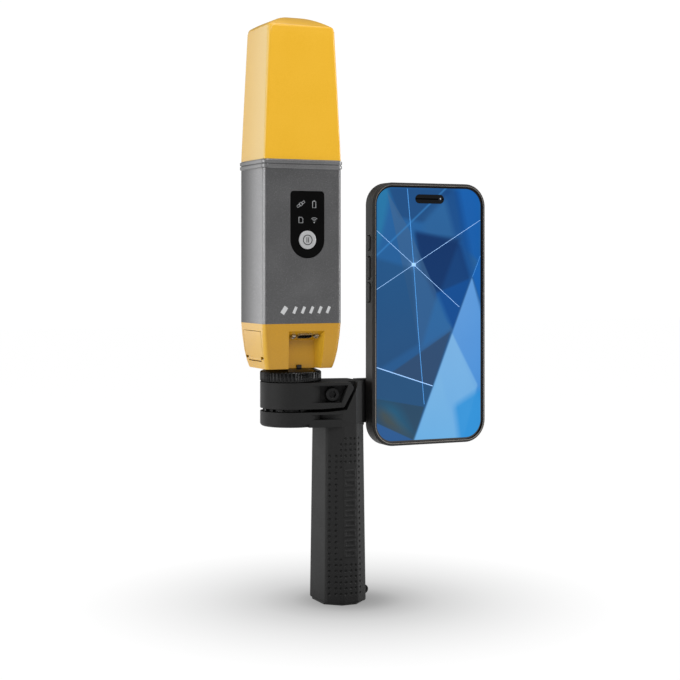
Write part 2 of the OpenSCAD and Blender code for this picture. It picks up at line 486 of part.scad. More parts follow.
module camera_module() color([0.2, 0.2, 0.21]) difference() {
  front(-7.4, 8.2) translate([ph_cx + 18.5, ph_cz + 58]) rrect(35.2, 35.2, 8);
  for (p = [[-8, 8], [-8, -8], [8, 0]]) ycyl(6.7, ph_cx + 18.5 + p[0], ph_cz + 58 + p[1], -1, 2);
}
module camera_lenses() color([0.03, 0.03, 0.05]) for (p = [[-8, 8], [-8, -8], [8, 0]]) ycyl(6.6, ph_cx + 18.5 + p[0], ph_cz + 58 + p[1], -0.98, 2.2);
module front_glass() color([0.03, 0.04, 0.06]) front(-10.6, 0.7) ph(case_w - 3.4, case_h - 3.4, case_r - 1.7);
module display_panel() color([0.1, 0.3, 0.6]) front(-9.88, 1.3) ph(case_w - 6.8, case_h - 6.8, case_r - 3.2);
module phone_battery() color([0.1, 0.1, 0.1]) translate([ph_cx - 34, -7.8, phone_z + 14]) cube([42, 4.4, 92]);
module phone_board() color([0.05, 0.2, 0.15]) {
  translate([ph_cx + 12, -7.8, phone_z + 14]) cube([22, 1, 92]);
  translate([ph_cx + 14, -6.85, phone_z + 60]) cube([18, 1.4, 40]);
  translate([ph_cx - 30, -7.8, phone_z + 116]) cube([26, 1, 36]);
}
module usb_socket() color(steel) translate([ph_cx, -6.3, phone_z + 1.9]) linear_extrude(6.4) difference() { rrect(9.8, 3.3, 1.4); rrect(9.0, 2.6, 1.2); }
module side_key(s, zc, l) translate([ph_cx + s * (case_w / 2 - 0.15), -6, phone_z + zc]) rotate([0, 90, 0]) translate([0, 0, -0.85])
  linear_extrude(1.7) rrect(l, 3.2, 1.5);
module action_button() color([0.3, 0.29, 0.28]) side_key(-1, 126.4, 8.7);
module volume_up_button() color([0.3, 0.29, 0.28]) side_key(-1, 110.8, 13.6);
module volume_down_button() color([0.3, 0.29, 0.28]) side_key(-1, 95.5, 11.8);
module side_button() color([0.3, 0.29, 0.28]) side_key(1, 115, 21.8);

handle_body();
core_rod();
core_pin();
grip_end_cap();
end_cap_screws();
strap_lug();
clamp_jaw();
clamp_screw();
clamp_insert();
phone_arm();
arm_screws();
mount_plate();
mount_magnets();
mount_pad();
swivel_spigot();
index_ring();
lock_ring();
lock_stud();
stud_clip();
base_housing();
mount_insert();
base_seal();
base_screws();
index_key();
port_shell();
port_insert();
jack_screws();
card_reader();
service_door();
door_gasket();
door_pin();
main_housing();
label_panel();
light_pipes();
power_button();
dome_switch();
main_board();
battery_tray();
battery_pack();
rim_band();
radome_seal();
radome();
ground_plane();
antenna_board();
antenna_core();
antenna_conductors();
phone_case();
phone_frame();
back_glass();
camera_module();
camera_lenses();
front_glass();
display_panel();
phone_battery();
phone_board();
usb_socket();
action_button();
volume_up_button();
volume_down_button();
side_button();
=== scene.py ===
import bpy, bmesh, math
import numpy as np
from mathutils import Vector, Matrix


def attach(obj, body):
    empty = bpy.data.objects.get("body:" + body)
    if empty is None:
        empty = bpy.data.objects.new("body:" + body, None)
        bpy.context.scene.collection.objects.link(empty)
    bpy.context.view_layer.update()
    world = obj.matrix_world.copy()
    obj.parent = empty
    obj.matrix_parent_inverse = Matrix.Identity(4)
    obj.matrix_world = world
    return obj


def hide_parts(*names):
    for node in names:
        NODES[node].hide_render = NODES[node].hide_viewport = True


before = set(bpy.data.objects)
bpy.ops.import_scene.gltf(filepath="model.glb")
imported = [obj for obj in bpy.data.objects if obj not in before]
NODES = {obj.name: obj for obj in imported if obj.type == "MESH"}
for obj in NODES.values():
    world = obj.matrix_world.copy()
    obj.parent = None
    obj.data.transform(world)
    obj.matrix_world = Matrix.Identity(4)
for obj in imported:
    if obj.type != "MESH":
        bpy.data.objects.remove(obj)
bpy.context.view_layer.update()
mm = 0.001
RX, RY = -28.3, 7.8
Z_HEAD0, Z_SLOT0, Z_SLOT1, Z_HEAD1 = 108.5, 117.7, 119.65, 135.6
Z_RING0, Z_RING1, Z_BASE0, Z_BASE1 = 135.9, 144.0, 144.2, 171.7
Z_RIM0, Z_RIM1, Z_TOP = 265.2, 270.9, 358.5
YF = RY - 20.0
FX = RX + 2.6                      # middle of the receiver's front features
Z_BTN, Z_LAB1 = 222.3, 251.9
PCX, PCZ = 58.7, 176.5


# ------------------------------------------------------------------ materials
def lin(c):
    c = c / 255.0
    return c / 12.92 if c <= 0.04045 else ((c + 0.055) / 1.055) ** 2.4


def rgb(r, g, b):
    return (lin(r), lin(g), lin(b), 1.0)


def material(name, a, b, rough=(0.4, 0.5), metal=0.0, grain=900, bump=0.1, dist=0.0001, mott=60, coat=0.0,
             coat_rough=0.1, spec=0.5, fleck=None, side=None, ior=1.45):
    """A moulded or painted surface: two tones mixed by broad mottling and fine grain, roughness and bump from the same
    grain. With side, the receiver's left flank also gets painted light and sheen, lighter towards the front corner.
    """
    m = bpy.data.materials.new(name)
    m.use_nodes = True
    nt = m.node_tree
    n, l = nt.nodes, nt.links
    p = n["Principled BSDF"]
    tc = n.new("ShaderNodeTexCoord")
    fine = n.new("ShaderNodeTexNoise")
    fine.inputs["Scale"].default_value = grain
    fine.inputs["Detail"].default_value = 3.0
    fine.inputs["Roughness"].default_value = 0.6
    broad = n.new("ShaderNodeTexNoise")
    broad.inputs["Scale"].default_value = mott
    broad.inputs["Detail"].default_value = 2.0
    l.new(tc.outputs["Object"], fine.inputs["Vector"])
    l.new(tc.outputs["Object"], broad.inputs["Vector"])
    add = n.new("ShaderNodeMath")
    add.operation = "MULTIPLY_ADD"
    add.inputs[1].default_value = 0.7
    l.new(fine.outputs["Fac"], add.inputs[0])
    half = n.new("ShaderNodeMath")
    half.operation = "MULTIPLY"
    half.inputs[1].default_value = 0.3
    l.new(broad.outputs["Fac"], half.inputs[0])
    l.new(half.outputs[0], add.inputs[2])
    mr = n.new("ShaderNodeMapRange")
    mr.inputs["From Min"].default_value = 0.3
    mr.inputs["From Max"].default_value = 0.7
    l.new(add.outputs[0], mr.inputs["Value"])
    mix = n.new("ShaderNodeMix")
    mix.data_type = "RGBA"
    mix.inputs[6].default_value = a
    mix.inputs[7].default_value = b
    l.new(mr.outputs["Result"], mix.inputs[0])
    out_col = mix.outputs[2]
    if fleck:
        fl = n.new("ShaderNodeTexVoronoi")
        fl.inputs["Scale"].default_value = fleck[0]
        l.new(tc.outputs["Object"], fl.inputs["Vector"])
        fr = n.new("ShaderNodeMapRange")
        fr.inputs["From Min"].default_value = 0.18
        fr.inputs["From Max"].default_value = 0.02
        l.new(fl.outputs["Distance"], fr.inputs["Value"])
        mx = n.new("ShaderNodeMix")
        mx.data_type = "RGBA"
        l.new(fr.outputs["Result"], mx.inputs[0])
        l.new(out_col, mx.inputs[6])
        mx.inputs[7].default_value = fleck[1]
        out_col = mx.outputs[2]
    if side:
        # painted light and sheen on the receiver's left flank: left-facing faces have their colour multiplied by side,
        # from side[0] at the rear to side[1] at the front, so the flank is painted lighter towards the front corner
        sx = n.new("ShaderNodeSeparateXYZ")
        l.new(tc.outputs["Object"], sx.inputs[0])
        nx = n.new("ShaderNodeSeparateXYZ")
        l.new(tc.outputs["Normal"], nx.inputs[0])
        fx = n.new("ShaderNodeMapRange")
        fx.inputs["From Min"].default_value = -0.45
        fx.inputs["From Max"].default_value = -0.85
        l.new(nx.outputs["X"], fx.inputs["Value"])
        fy = n.new("ShaderNodeMapRange")
        fy.interpolation_type = "SMOOTHSTEP"
        fy.inputs["From Min"].default_value = (RY + 19.0) * mm
        fy.inputs["From Max"].default_value = (RY - 17.0) * mm
        l.new(sx.outputs["Y"], fy.inputs["Value"])
        along = n.new("ShaderNodeMix")
        along.data_type = "RGBA"
        l.new(fy.outputs["Result"], along.inputs[0])
        along.inputs[6].default_value = side[0]
        along.inputs[7].default_value = side[1]
        painted_flank_light = n.new("ShaderNodeMix")
        painted_flank_light.data_type = "RGBA"
        painted_flank_light.blend_type = "MULTIPLY"
        l.new(fx.outputs["Result"], painted_flank_light.inputs[0])
        l.new(out_col, painted_flank_light.inputs[6])
        l.new(along.outputs[2], painted_flank_light.inputs[7])
        out_col = painted_flank_light.outputs[2]
    l.new(out_col, p.inputs["Base Color"])
    rr = n.new("ShaderNodeMapRange")
    rr.inputs["From Min"].default_value = 0.3
    rr.inputs["From Max"].default_value = 0.7
    rr.inputs["To Min"].default_value = rough[0]
    rr.inputs["To Max"].default_value = rough[1]
    l.new(add.outputs[0], rr.inputs["Value"])
    l.new(rr.outputs["Result"], p.inputs["Roughness"])
    if bump > 0:
        bp = n.new("ShaderNodeBump")
        bp.inputs["Strength"].default_value = bump
        bp.inputs["Distance"].default_value = dist
        l.new(fine.outputs["Fac"], bp.inputs["Height"])
        l.new(bp.outputs["Normal"], p.inputs["Normal"])
    p.inputs["Metallic"].default_value = metal
    p.inputs["Specular IOR Level"].default_value = spec
    p.inputs["IOR"].default_value = ior
    p.inputs["Coat Weight"].default_value = coat
    p.inputs["Coat Roughness"].default_value = coat_rough
    return m


M = {
    # side gives (rear, front) colour factors: painted light and sheen on the receiver's left flank, and a raised blue
    # factor whitens the yellows as a painted sheen
    "yellow": material("yellow_satin", rgb(224, 170, 33), rgb(230, 177, 42), (0.30, 0.38), grain=1400, bump=0.05, coat=0.3, coat_rough=0.1,
                       side=((0.84, 0.88, 1.0, 1), (0.92, 1.12, 6.0, 1))),
    "graphite": material("graphite_metallic", rgb(88, 88, 89), rgb(106, 106, 107), (0.36, 0.44), metal=0.72, grain=1300, bump=0.12, dist=0.00012,
                         fleck=(1500, rgb(180, 180, 182)), spec=0.5, side=((0.42, 0.42, 0.42, 1), (2.2, 2.2, 2.2, 1))),
    "rim": material("graphite_rim", rgb(112, 112, 113), rgb(140, 140, 141), (0.32, 0.42), metal=0.75, grain=1300, bump=0.08, dist=0.0001,
                    side=((0.6, 0.6, 0.6, 1), (1.1, 1.1, 1.1, 1))),
    # the base's yellow is darker than the radome's; its side factors lift its left flank with painted light and sheen
    "yellow_base": material("yellow_satin_base", rgb(178, 129, 10), rgb(188, 138, 16), (0.30, 0.38), grain=1400, bump=0.05, coat=0.15, coat_rough=0.15,
                            side=((1.3, 1.4, 3.4, 1), (1.45, 1.65, 6.0, 1))),
    "nylon": material("black_nylon_grained", rgb(13, 13, 13), rgb(23, 23, 23), (0.50, 0.64), grain=1100, bump=0.22, dist=0.00012, fleck=(1000, rgb(46, 46, 46)), spec=0.36),
    "ring": material("ring_gloss_black", rgb(5, 5, 5), rgb(9, 9, 10), (0.14, 0.22), grain=700, bump=0.02, spec=0.28),
    "black": material("black_moulded", rgb(22, 22, 22), rgb(34, 34, 34), (0.45, 0.6), grain=1000, bump=0.2),
    "steel": material("turned_steel", rgb(168, 170, 172), rgb(205, 206, 208), (0.22, 0.34), metal=1.0, grain=700, bump=0.04),
    "screw": material("black_oxide_screw", rgb(12, 12, 13), rgb(22, 22, 23), (0.34, 0.5), metal=0.4, grain=900, bump=0.05),
    "brass": material("machined_brass", rgb(190, 150, 80), rgb(215, 178, 104), (0.25, 0.36), metal=1.0, grain=600, bump=0.03),
    "alu": material("anodised_aluminium", rgb(96, 97, 99), rgb(122, 123, 126), (0.34, 0.44), metal=0.9, grain=900, bump=0.04),
    "rubber": material("seal_rubber_matt", rgb(22, 22, 22), rgb(36, 36, 36), (0.65, 0.8), grain=900, bump=0.15),
    "label": material("label_film_black", rgb(1, 1, 1), rgb(3, 3, 3), (0.30, 0.38), grain=1200, bump=0.03, spec=0.1),
    "white_ink": material("pale_print", rgb(180, 181, 182), rgb(196, 197, 198), (0.45, 0.55), grain=1500, bump=0.03),
    "ink_dim_and_glint": material("dim_print_and_glint", rgb(150, 152, 154), rgb(172, 174, 176), (0.45, 0.55), grain=1500, bump=0.03),
    "button": material("button_silver_satin", rgb(162, 163, 164), rgb(180, 181, 182), (0.30, 0.38), metal=0.15, grain=1500, bump=0.03),
    "clear": material("light_guide", rgb(190, 200, 210), rgb(214, 222, 230), (0.1, 0.16), grain=500, bump=0.02),
    "pcb": material("solder_mask", rgb(14, 70, 42), rgb(24, 92, 54), (0.35, 0.5), grain=500, bump=0.1),
    "cell": material("cell_wrap", rgb(28, 60, 112), rgb(38, 76, 132), (0.35, 0.5), grain=300, bump=0.05),
    "former": material("white_former", rgb(214, 214, 206), rgb(232, 232, 226), (0.5, 0.6), grain=700, bump=0.05),
    "case": material("soft_touch_case", rgb(31, 30, 29), rgb(44, 42, 41), (0.45, 0.58), grain=1200, bump=0.12, dist=0.00008),
    "case_edge": material("case_metal_edge", rgb(140, 134, 128), rgb(166, 160, 152), (0.25, 0.34), metal=0.8, grain=900, bump=0.03),
    "phone_metal": material("phone_frame_metal", rgb(92, 89, 86), rgb(112, 108, 104), (0.3, 0.4), metal=0.9, grain=800, bump=0.03),
    "bezel": material("phone_bezel_glass", rgb(5, 5, 7), rgb(9, 9, 12), (0.08, 0.12), grain=300, bump=0.01, coat=0.6, coat_rough=0.04),
    "lens": material("coated_lens", rgb(8, 9, 16), rgb(16, 18, 34), (0.05, 0.1), grain=200, bump=0.0, coat=1.0, coat_rough=0.03),
}


# ------------------------------------------------------------------ mesh helpers
def new_object(name, verts, faces, mat, body, replaces=(), smooth=True, sharp=None):
    me = bpy.data.meshes.new(name)
    me.from_pydata([tuple(v) for v in verts], [], [tuple(int(i) for i in f) for f in faces])
    me.validate()
    bm = bmesh.new()
    bm.from_mesh(me)
    bmesh.ops.recalc_face_normals(bm, faces=bm.faces)
    finish_bm(bm, me, smooth, sharp)
    return place(name, me, mat, body, replaces)


def finish_bm(bm, me, smooth=True, sharp=35):
    for f in bm.faces:
        f.smooth = smooth
    if sharp is not None:
        lim = math.radians(sharp)
        for e in bm.edges:
            e.smooth = not (len(e.link_faces) != 2 or e.calc_face_angle(0.0) > lim)
    bm.to_mesh(me)
    bm.free()
    me.update()


def place(name, me, mat, body, replaces=()):
    o = bpy.data.objects.new(name, me)
    bpy.context.scene.collection.objects.link(o)
    me.materials.clear()
    me.materials.append(M[mat] if isinstance(mat, str) else mat)
    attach(o, body)
    if replaces:
        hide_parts(*replaces)
    return o


def soften(o, width, seg=2, angle=30):
    b = o.modifiers.new("edge", "BEVEL")
    b.width = width * mm
    b.segments = seg
    b.limit_method = "ANGLE"
    b.angle_limit = math.radians(angle)
    b.harden_normals = False
    b.use_clamp_overlap = True
    w = o.modifiers.new("even", "WEIGHTED_NORMAL")
    w.keep_sharp = False
    w.weight = 60
    return o


def cad_bm(node):
    bm = bmesh.new()
    bm.from_mesh(NODES[node].data)
    bmesh.ops.remove_doubles(bm, verts=bm.verts, dist=3e-6)
    bmesh.ops.dissolve_degenerate(bm, edges=bm.edges, dist=2e-6)
    bmesh.ops.dissolve_limit(bm, angle_limit=math.radians(0.25), verts=bm.verts, edges=bm.edges)
    return bm


def cad_piece(node, mat, body, bevel=0.3, seg=2, angle=30, sharp=40, edit=None):
    """A dressed copy of a CAD node: merged, planar faces joined, edges rounded."""
    bm = cad_bm(node)
    if edit:
        edit(bm)
    me = bpy.data.meshes.new("dressed_" + node)
    finish_bm(bm, me, True, None if bevel else sharp)
    o = place("dressed_" + node, me, mat, body, (node,))
    if bevel:
        soften(o, bevel, seg, angle)
    return o


def rr(w, d, r, n=10, edge=0.35):
    """Closed ring of a rounded rectangle, with support points beside the corners."""
    pts = []
    r = min(r, w / 2 - 1e-3, d / 2 - 1e-3)
    for cx, cy, a0 in ((w / 2 - r, -d / 2 + r, -90), (w / 2 - r, d / 2 - r, 0), (-w / 2 + r, d / 2 - r, 90), (-w / 2 + r, -d / 2 + r, 180)):
        t0 = np.array([-math.sin(math.radians(a0)), math.cos(math.radians(a0))])
        arc = [np.array([cx + r * math.cos(math.radians(a0 + 90 * i / n)), cy + r * math.sin(math.radians(a0 + 90 * i / n))]) for i in range(n + 1)]
        t1 = np.array([-math.sin(math.radians(a0 + 90)), math.cos(math.radians(a0 + 90))])
        pts.append(arc[0] - t0 * edge)
        pts += arc
        pts.append(arc[-1] + t1 * edge)
    return np.array(pts)


def loft(rings, close=True):
    """rings: list of (N,3) arrays. Returns verts, faces with both ends capped."""
    n = len(rings[0])
    v = np.vstack(rings)
    f = []
    for k in range(len(rings) - 1):
        a, b = k * n, (k + 1) * n
        for i in range(n):
            j = (i + 1) % n
            f.append((a + i, a + j, b + j, b + i))
    if close:
        f.append(tuple(reversed(range(n))))
        f.append(tuple(range((len(rings) - 1) * n, len(rings) * n)))
    return v, f


def ribbon(points, width, y0, y1, closed=False):
    """A flat stroke in the X-Z plane from y0 to y1 (mm), as verts and faces."""
    p = [np.array(q, float) for q in points]
    n = len(p)
    left, right = [], []
    for i in range(n):
        a = p[(i - 1) % n] if (closed or i > 0) else p[i]
        b = p[(i + 1) % n] if (closed or i < n - 1) else p[i]
        d = b - a
        d = d / max(np.linalg.norm(d), 1e-9)
        nn = np.array([-d[1], d[0]])
        k = 1.0
        if (closed or 0 < i < n - 1):
            d1 = p[i] - a
            d1 = d1 / max(np.linalg.norm(d1), 1e-9)
            k = 1.0 / max(0.5, abs(float(np.dot(nn, np.array([-d1[1], d1[0]])))))
        left.append(p[i] + nn * width / 2 * k)
        right.append(p[i] - nn * width / 2 * k)
    v = [(q[0], y0, q[1]) for q in left] + [(q[0], y0, q[1]) for q in right] + [(q[0], y1, q[1]) for q in left] + [(q[0], y1, q[1]) for q in right]
    f = []
    last = n if closed else n - 1
    for i in range(last):
        j = (i + 1) % n
        f += [(i, j, n + j, n + i), (2 * n + j, 2 * n + i, 3 * n + i, 3 * n + j), (j, i, 2 * n + i, 2 * n + j), (n + i, n + j, 3 * n + j, 3 * n + i)]
    if not closed:
        f += [(0, n, 3 * n, 2 * n), (n - 1, 3 * n - 1, 4 * n - 1, 2 * n - 1)]
    return v, f


def join(parts):
    v, f = [], []
    for a, b in parts:
        k = len(v)
        v += [tuple(x) for x in a]
        f += [tuple(i + k for i in q) for q in b]
    return v, f


def disc(cx, cz, r, y0, y1, n=40):
    ring = lambda y, q: [(cx + q * math.cos(2 * math.pi * i / n), y, cz + q * math.sin(2 * math.pi * i / n)) for i in range(n)]
    v = ring(y0, r) + ring(y1, r)
    f = [(i, (i + 1) % n, n + (i + 1) % n, n + i) for i in range(n)] + [tuple(range(n)), tuple(reversed(range(n, 2 * n)))]
    return v, f


def circle_pts(cx, cz, r, a0=0, a1=360, n=36):
    full = abs(a1 - a0) >= 360
    m = n if full else n + 1
    return [(cx + r * math.cos(math.radians(a0 + (a1 - a0) * i / n)), cz + r * math.sin(math.radians(a0 + (a1 - a0) * i / n))) for i in range(m)]


def scaled(v):
    return [tuple(float(c) * mm for c in q) for q in v]


# ------------------------------------------------------------------ CAD nodes that stay as they are: inside, or small
plain = {
    "core_rod": "alu", "core_pin": "steel", "end_cap_screws": "screw", "clamp_insert": "brass", "mount_magnets": "steel",
    "mount_pad": "rubber", "swivel_spigot": "alu", "index_ring": "screw", "lock_stud": "steel", "stud_clip": "steel",
    "mount_insert": "brass", "base_seal": "rubber", "base_screws": "steel", "card_reader": "steel", "door_gasket": "rubber",
    "door_pin": "steel", "light_pipes": "clear", "dome_switch": "steel", "main_board": "pcb", "battery_tray": "black",
    "battery_pack": "cell", "radome_seal": "rubber", "ground_plane": "brass", "antenna_board": "pcb", "antenna_core": "former",
    "antenna_conductors": "brass", "phone_frame": "phone_metal", "phone_battery": "black", "phone_board": "pcb",
    "usb_socket": "steel", "port_shell": "steel", "port_insert": "black",
}
for node, mat in plain.items():
    me = NODES[node].data
    me.materials.clear()
    me.materials.append(M[mat])


# ------------------------------------------------------------------ receiver: radome
def radome():
    """Tapered box with rounded corners under a shallow two-way dome, its top edge lightly rounded."""
    n_side, taper = 64, lambda t: 0.35 + 3.75 * t ** 1.05
    z0 = Z_RIM1
    rings = []
    shallow = lambda q: 0.35 + (q - 0.35) * 0.45
    dome = lambda x, y: 359.2 - x * x / 114.0 - y * y / 84.0
    hs = np.concatenate([[0.0, 0.004], np.linspace(0.02, 0.9, 24)])
    for t in hs:
        k = taper(t)
        r = rr(51.6 - 2 * k, 40 - 2 * shallow(k), 1.5 + 1.0 * t, 12)
        rings.append(np.c_[r[:, 0] + RX, r[:, 1] + RY, np.full(len(r), z0 + t * 87.6)])
    # wall up to the dome, then the rounded top edge and the dome in shrinking rings
    edge = 1.3
    for t in (0.955, 1.0):
        k = taper(0.965)
        r = rr(51.6 - 2 * k, 40 - 2 * shallow(k), 2.6, 12)
        zt = np.array([dome(x, y) for x, y in r]) - edge
        zb = z0 + 0.9 * 87.6
        share = (t - 0.9) / 0.1
        rings.append(np.c_[r[:, 0] + RX, r[:, 1] + RY, zb + (zt - zb) * share])
    k = taper(0.965)
    for a in (18, 36, 54, 72, 90):
        q = edge * (1 - math.cos(math.radians(a)))
        r = rr(51.6 - 2 * k - 2 * q, 40 - 2 * shallow(k) - 2 * q, max(2.6 - q, 1.2), 12)
        zt = np.array([dome(x, y) for x, y in r]) - edge + edge * math.sin(math.radians(a))
        rings.append(np.c_[r[:, 0] + RX, r[:, 1] + RY, zt])
    base = rr(51.6 - 2 * k - 2 * edge, 40 - 2 * shallow(k) - 2 * edge, 1.3, 12)
    for s in (0.93, 0.85, 0.75, 0.62, 0.48, 0.34, 0.2, 0.08):
        r = base * s
        zt = np.array([dome(x, y) for x, y in r])
        rings.append(np.c_[r[:, 0] + RX, r[:, 1] + RY, zt])
    v, f = loft(rings)
    return new_object("radome_shell", scaled(v), f, "yellow", "receiver", ("radome",), sharp=50)


radome()

# ------------------------------------------------------------------ receiver: body, band, base
cad_piece("main_housing", "graphite", "receiver", bevel=0.18, seg=2)
cad_piece("rim_band", "rim", "receiver", bevel=0.45, seg=3)
cad_piece("base_housing", "yellow_base", "receiver", bevel=0.22, seg=2, angle=28)
cad_piece("service_door", "yellow_base", "door", bevel=0.25, seg=2, angle=28)
cad_piece("index_key", "black", "receiver", bevel=0.2)
cad_piece("jack_screws", "steel", "receiver", bevel=0.12)
cad_piece("label_panel", "label", "receiver", bevel=0.08)


def button_top():
    """Round silver button with a shallow dish, a rounded rim, and its skirt and stem behind."""
    prof = [(0.0, YF - 0.36), (2.8, YF - 0.37), (4.4, YF - 0.42), (5.0, YF - 0.5), (5.38, YF - 0.44), (5.54, YF - 0.28), (5.6, YF - 0.05), (5.6, YF + 2.4),
            (7.0, YF + 2.42), (7.0, YF + 3.4), (1.6, YF + 3.42), (1.6, RY - 9.0), (0.0, RY - 9.0)]
    n = 72
    v = [(FX, prof[0][1], Z_BTN)]
    for r, y in prof[1:-1]:
        v += [(FX + r * math.cos(2 * math.pi * i / n), y, Z_BTN + r * math.sin(2 * math.pi * i / n)) for i in range(n)]
    v.append((FX, prof[-1][1], Z_BTN))
    f = [(0, 1 + i, 1 + (i + 1) % n) for i in range(n)]
    for k in range(len(prof) - 3):
        a, b = 1 + k * n, 1 + (k + 1) * n
        f += [(a + i, b + i, b + (i + 1) % n, a + (i + 1) % n) for i in range(n)]
    a = 1 + (len(prof) - 3) * n
    f += [(len(v) - 1, a + (i + 1) % n, a + i) for i in range(n)]
    return new_object("power_button_cap", scaled(v), f, "button", "power", ("power_button",), sharp=40)


button_top()
y0, y1 = YF - 0.46, YF - 0.30
symbol = [ribbon(circle_pts(FX, Z_BTN, 2.9, n=48), 0.5, y0, y1, True)]
symbol += [ribbon([(FX + d, Z_BTN - 1.6), (FX + d, Z_BTN + 1.6)], 0.42, y0, y1) for d in (-0.55, 0.55)]
v, f = join(symbol)
new_object("power_symbol", scaled(v), f, "black", "power", sharp=30)


def icons():
    """Four small printed signs: satellite, battery, memory card, and plain wave arcs."""
    y0, y1 = YF - 0.16, YF - 0.06
    w = 0.22
    parts = []
    xl, xr, zt, zb = FX - 4.4, FX + 4.4, Z_LAB1 - 8.0, Z_LAB1 - 17.6
    rot = lambda pts, a, cx, cz: [(cx + (x - cx) * math.cos(a) - (z - cz) * math.sin(a), cz + (x - cx) * math.sin(a) + (z - cz) * math.cos(a)) for x, z in pts]
    box = lambda cx, cz, hw, hh: [(cx - hw, cz - hh), (cx + hw, cz - hh), (cx + hw, cz + hh), (cx - hw, cz + hh)]
    a = math.radians(35)
    parts.append(ribbon(rot(box(xl, zt, 0.75, 0.95), a, xl, zt), w, y0, y1, True))
    for s in (-1, 1):
        parts.append(ribbon(rot(box(xl + s * 2.0, zt, 0.85, 0.6), a, xl, zt), w * 0.8, y0, y1, True))
        parts.append(ribbon(rot([(xl + s * 0.75, zt), (xl + s * 1.15, zt)], a, xl, zt), w, y0, y1))
    parts.append(ribbon(box(xr, zt - 0.2, 1.05, 1.9), w, y0, y1, True))
    parts.append(ribbon([(xr - 0.5, zt + 2.1), (xr + 0.5, zt + 2.1)], w * 1.4, y0, y1))
    parts.append(ribbon([(xl - 1.3, zb - 1.7), (xl + 1.3, zb - 1.7), (xl + 1.3, zb + 0.9), (xl + 0.4, zb + 1.7), (xl - 1.3, zb + 1.7)], w, y0, y1, True))
    parts.append(disc(xr, zb - 1.4, 0.38, y0, y1, 20))
    for r in (1.1, 2.0, 2.9):
        parts.append(ribbon(circle_pts(xr, zb - 1.4, r, 48, 132, 14), w, y0, y1))
    v, f = join(parts)
    return new_object("label_icons", scaled(v), f, "ink_dim_and_glint", "receiver", sharp=30)


icons()


def front_print():
    """Plain pale dashes low on the body, in place of lettering."""
    y0, y1 = YF - 0.06, YF + 0.02
    parts = []
    z = 179.9
    x = FX - 16.6
    for w in (5.6, 3.6, 3.6, 3.6, 3.6, 3.6):
        s = 0.9
        parts.append(ribbon([(x, z - 2.0), (x + w * 0.5, z + 2.0)], w * 0.5, y0, y1))
        x += w + 1.9
    v, f = join(parts)
    return new_object("front_dashes", scaled(v), f, "white_ink", "receiver", sharp=30)


front_print()


# ------------------------------------------------------------------ lock ring
def lock_ring():
    """Glossy ring: fine ribs in four fields with broad flutes between them, chamfered above."""
    n = 1440
    ang = np.arange(n) * 2 * math.pi / n
    deg = np.degrees(ang)
    ph = (deg + 270 - 15 + 45 + 10) % 90          # 0..90 inside one field
    fine = (ph > 27) & (ph < 63)
    saw = 0.5 + 0.5 * np.cos(np.radians(deg * 360 / 5.0))
    wide = 0.5 + 0.5 * np.cos(np.radians(deg * 360 / 7.5))
    depth = np.where(fine, 0.5 * saw ** 0.7, 0.6 * wide ** 2)
    prof = [(7.95, 0.0, 0), (17.7, 0.0, 0), (18.45, 0.12, 0.3), (18.85, 0.5, 1), (18.9, 0.9, 1), (18.9, 5.3, 1), (18.8, 5.8, 1), (18.1, 6.35, 0.35), (17.5, 6.6, 0),
            (14.4, 7.95, 0), (13.9, 8.1, 0), (7.95, 8.1, 0)]
    rings = []
    for r, z, k in prof:
        rad = r - depth * k
        rings.append(np.c_[rad * np.cos(ang) + RX, rad * np.sin(ang) + RY, np.full(n, z + Z_RING0)])
    v = np.vstack(rings)
    f = []
    m = len(prof)
    for k in range(m):
        a, b = k * n, ((k + 1) % m) * n
        for i in range(n):
            j = (i + 1) % n
            f.append((a + i, a + j, b + j, b + i))
    return new_object("lock_ring_ribbed", scaled(v), f, "ring", "lock", ("lock_ring",), sharp=45)


lock_ring()

# ------------------------------------------------------------------ head, jaw and grip
FOOT = (13.9, 17.7, 5.0, 12.4)
NECK = (12.7, 16.4, 4.5, 11.3)


def keep_head(bm):
    geom = list(bm.verts) + list(bm.edges) + list(bm.faces)
    res = bmesh.ops.bisect_plane(bm, geom=geom, dist=1e-7, plane_co=(0, 0, (Z_HEAD0 + 0.03) * mm), plane_no=(0, 0, 1), clear_inner=True)
    cut = [e for e in res["geom_cut"] if isinstance(e, bmesh.types.BMEdge)]
    bmesh.ops.holes_fill(bm, edges=[e for e in bm.edges if len(e.link_faces) == 1], sides=0)


cad_piece("handle_body", "nylon", "handle", bevel=0.45, seg=2, angle=30, edit=keep_head)
cad_piece("clamp_jaw", "nylon", "handle", bevel=0.45, seg=2, angle=30)
cad_piece("clamp_screw", "screw", "handle", bevel=0.35)


def fit_cap(bm):
    """Bring the cap's rim under the grip's foot outline."""
    for v in bm.verts:
        x, y, z = v.co[0] / mm, v.co[1] / mm, v.co[2] / mm
        if z < 1.2 and abs(x) > 12.6:
            v.co[0] = math.copysign(12.6 + (abs(x) - 12.6) * 0.30, x) * mm
        elif z < 1.2 and abs(y) > 14.8:
            v.co[1] = math.copysign(14.8 + (abs(y) - 14.8) * 0.8, y) * mm


cad_piece("grip_end_cap", "black", "handle", bevel=0.15, edit=fit_cap)
cad_piece("strap_lug", "nylon", "handle", bevel=0.4)


